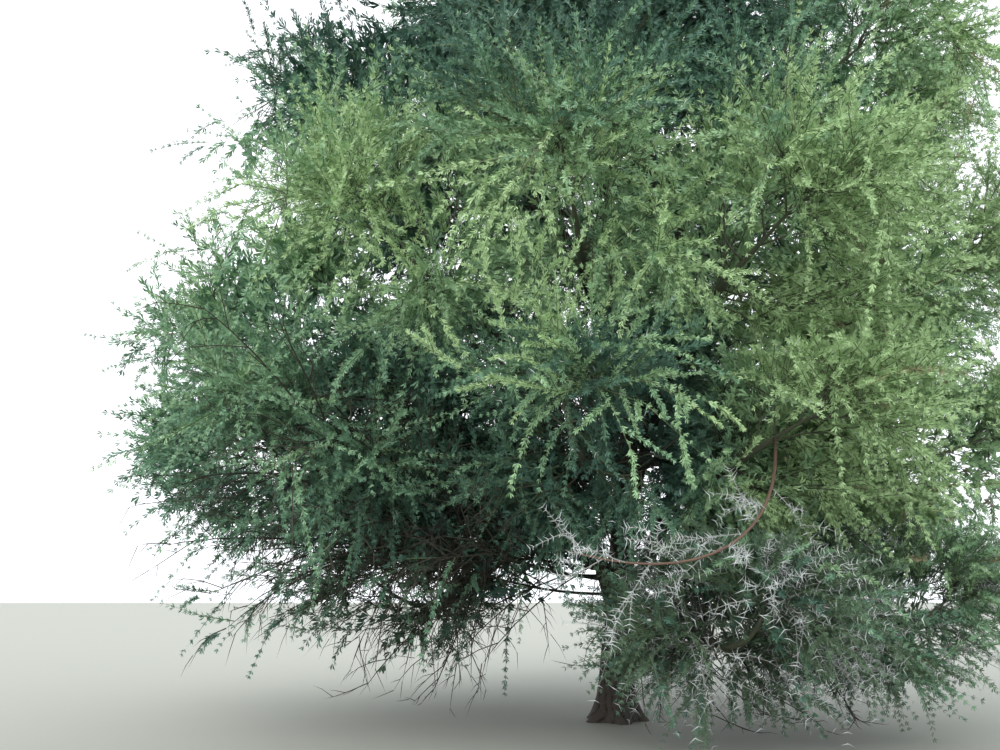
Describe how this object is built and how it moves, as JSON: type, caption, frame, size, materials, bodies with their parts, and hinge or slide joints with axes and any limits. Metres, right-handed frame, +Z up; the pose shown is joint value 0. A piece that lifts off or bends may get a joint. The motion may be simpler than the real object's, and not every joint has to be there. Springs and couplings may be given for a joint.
{
  "type": "acacia tree",
  "caption": "Spreading acacia with a low fork, arching boughs down to a drooping skirt, and a full crown of feathery, thorny sprays.",
  "frame": {"origin": "middle of the flat cut under the trunk, at ground level", "axes": "+Z up, +X along the crown's widest spread, to the right as pictured, and +Y away from the camera"},
  "size_m": [12.1132, 10.9285, 11.2706],
  "materials": {
    "bark": "rough, furrowed dark grey-brown bark",
    "bough_bark": "rough dark bark",
    "leaves": "matt yellow-green leaflets",
    "shaded_leaves": "matt blue-green leaflets",
    "thorny_twigs": "matt grey twigs with pale thorns"
  },
  "bodies": {
    "root": {"bough_hem_front": "bough_bark", "bough_hem_left": "bough_bark", "bough_hem_right": "bough_bark", "bough_shoulder_back_left": "bough_bark", "bough_shoulder_back_right": "bough_bark", "bough_shoulder_front": "bough_bark", "bough_shoulder_front_left": "bough_bark", "bough_shoulder_front_right": "bough_bark", "bough_shoulder_left": "bough_bark", "bough_shoulder_right": "bough_bark", "bough_shoulder_right_front": "bough_bark", "bough_skirt_back_left": "bough_bark", "bough_skirt_back_right": "bough_bark", "bough_skirt_front": "bough_bark", "bough_skirt_front_right": "bough_bark", "bough_skirt_left": "bough_bark", "bough_skirt_left_front": "bough_bark", "bough_skirt_right": "bough_bark", "bough_top_back": "bough_bark", "bough_top_centre": "bough_bark", "bough_top_left": "bough_bark", "bough_top_right": "bough_bark", "bough_upper_back_left": "bough_bark", "bough_upper_back_right": "bough_bark", "bough_upper_front": "bough_bark", "bough_upper_front_right": "bough_bark", "bough_upper_left": "bough_bark", "bough_upper_right": "bough_bark", "mass_hem_front": "thorny_twigs", "mass_hem_left": "thorny_twigs", "mass_hem_right": "thorny_twigs", "mass_shoulder_back_left": "leaves", "mass_shoulder_back_right": "leaves", "mass_shoulder_front": "leaves", "mass_shoulder_front_left": "leaves", "mass_shoulder_front_right": "leaves", "mass_shoulder_left": "leaves", "mass_shoulder_right": "leaves", "mass_shoulder_right_front": "leaves", "mass_skirt_back_left": "leaves", "mass_skirt_back_right": "leaves", "mass_skirt_front": "leaves", "mass_skirt_front_right": "leaves", "mass_skirt_left": "leaves", "mass_skirt_left_front": "leaves", "mass_skirt_right": "leaves", "mass_top_back": "shaded_leaves", "mass_top_centre": "shaded_leaves", "mass_top_left": "shaded_leaves", "mass_top_right": "shaded_leaves", "mass_upper_back_left": "shaded_leaves", "mass_upper_back_right": "shaded_leaves", "mass_upper_front": "shaded_leaves", "mass_upper_front_right": "shaded_leaves", "mass_upper_left": "shaded_leaves", "mass_upper_right": "shaded_leaves", "trunk": "bark"}
  },
  "joints": []
}
